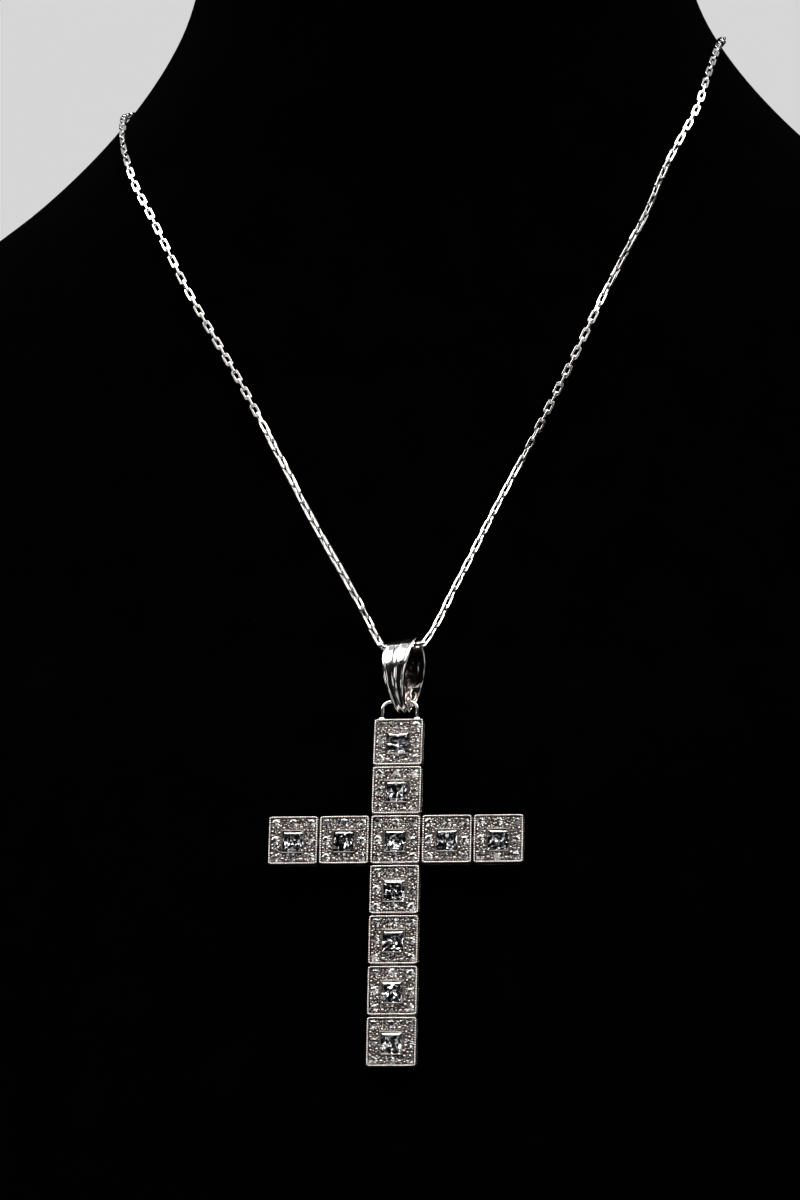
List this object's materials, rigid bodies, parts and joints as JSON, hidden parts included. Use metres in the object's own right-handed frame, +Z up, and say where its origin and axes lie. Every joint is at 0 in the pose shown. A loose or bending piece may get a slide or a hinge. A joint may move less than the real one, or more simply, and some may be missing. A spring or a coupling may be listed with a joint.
{
  "type": "cross pendant necklace on a neck bust",
  "caption": "Cross pendant of square gem-set tiles on a fluted bail and a fine link chain, shown on a plain black velvet neck bust.",
  "frame": {"origin": "centre of the bust's flat underside, on the surface that it stands on", "axes": "+Z up, -Y out of the chest, +X towards the wearer's left"},
  "size_m": [0.211, 0.1458, 0.2624],
  "materials": {
    "velvet": "black short-pile velvet",
    "jewel_metal": "polished white metal, darker in the recesses",
    "chain_metal": "polished white metal",
    "gem": "clear faceted stone"
  },
  "bodies": {
    "stand": {"neck_bust": "velvet", "chain": "chain_metal", "clasp": "chain_metal"},
    "bail": {"bail": "jewel_metal"},
    "cross": {"tile_1": "jewel_metal", "tile_2": "jewel_metal", "tile_3": "jewel_metal", "tile_4": "jewel_metal", "tile_5": "jewel_metal", "tile_6": "jewel_metal", "tile_7": "jewel_metal", "tile_left_outer": "jewel_metal", "tile_left_inner": "jewel_metal", "tile_right_inner": "jewel_metal", "tile_right_outer": "jewel_metal", "stone_1": "gem", "stone_2": "gem", "stone_3": "gem", "stone_4": "gem", "stone_5": "gem", "stone_6": "gem", "stone_7": "gem", "stone_left_outer": "gem", "stone_left_inner": "gem", "stone_right_inner": "gem", "stone_right_outer": "gem", "link_12": "jewel_metal", "link_23": "jewel_metal", "link_34": "jewel_metal", "link_45": "jewel_metal", "link_56": "jewel_metal", "link_67": "jewel_metal", "link_left_outer": "jewel_metal", "link_left_inner": "jewel_metal", "link_right_inner": "jewel_metal", "link_right_outer": "jewel_metal"}
  },
  "joints": [
    {"name": "bail_swing", "type": "hinge", "parent": "stand", "child": "bail", "pos_m": [0.0005, -0.03834, 0.11485], "axis": [-0.8907, 0.4385, -0.12], "range_deg": [0, 80]},
    {"name": "cross_swing", "type": "hinge", "parent": "bail", "child": "cross", "pos_m": [0, -0.04023, 0.10598], "axis": [-1, 0, 0], "range_deg": [0, 80]}
  ]
}
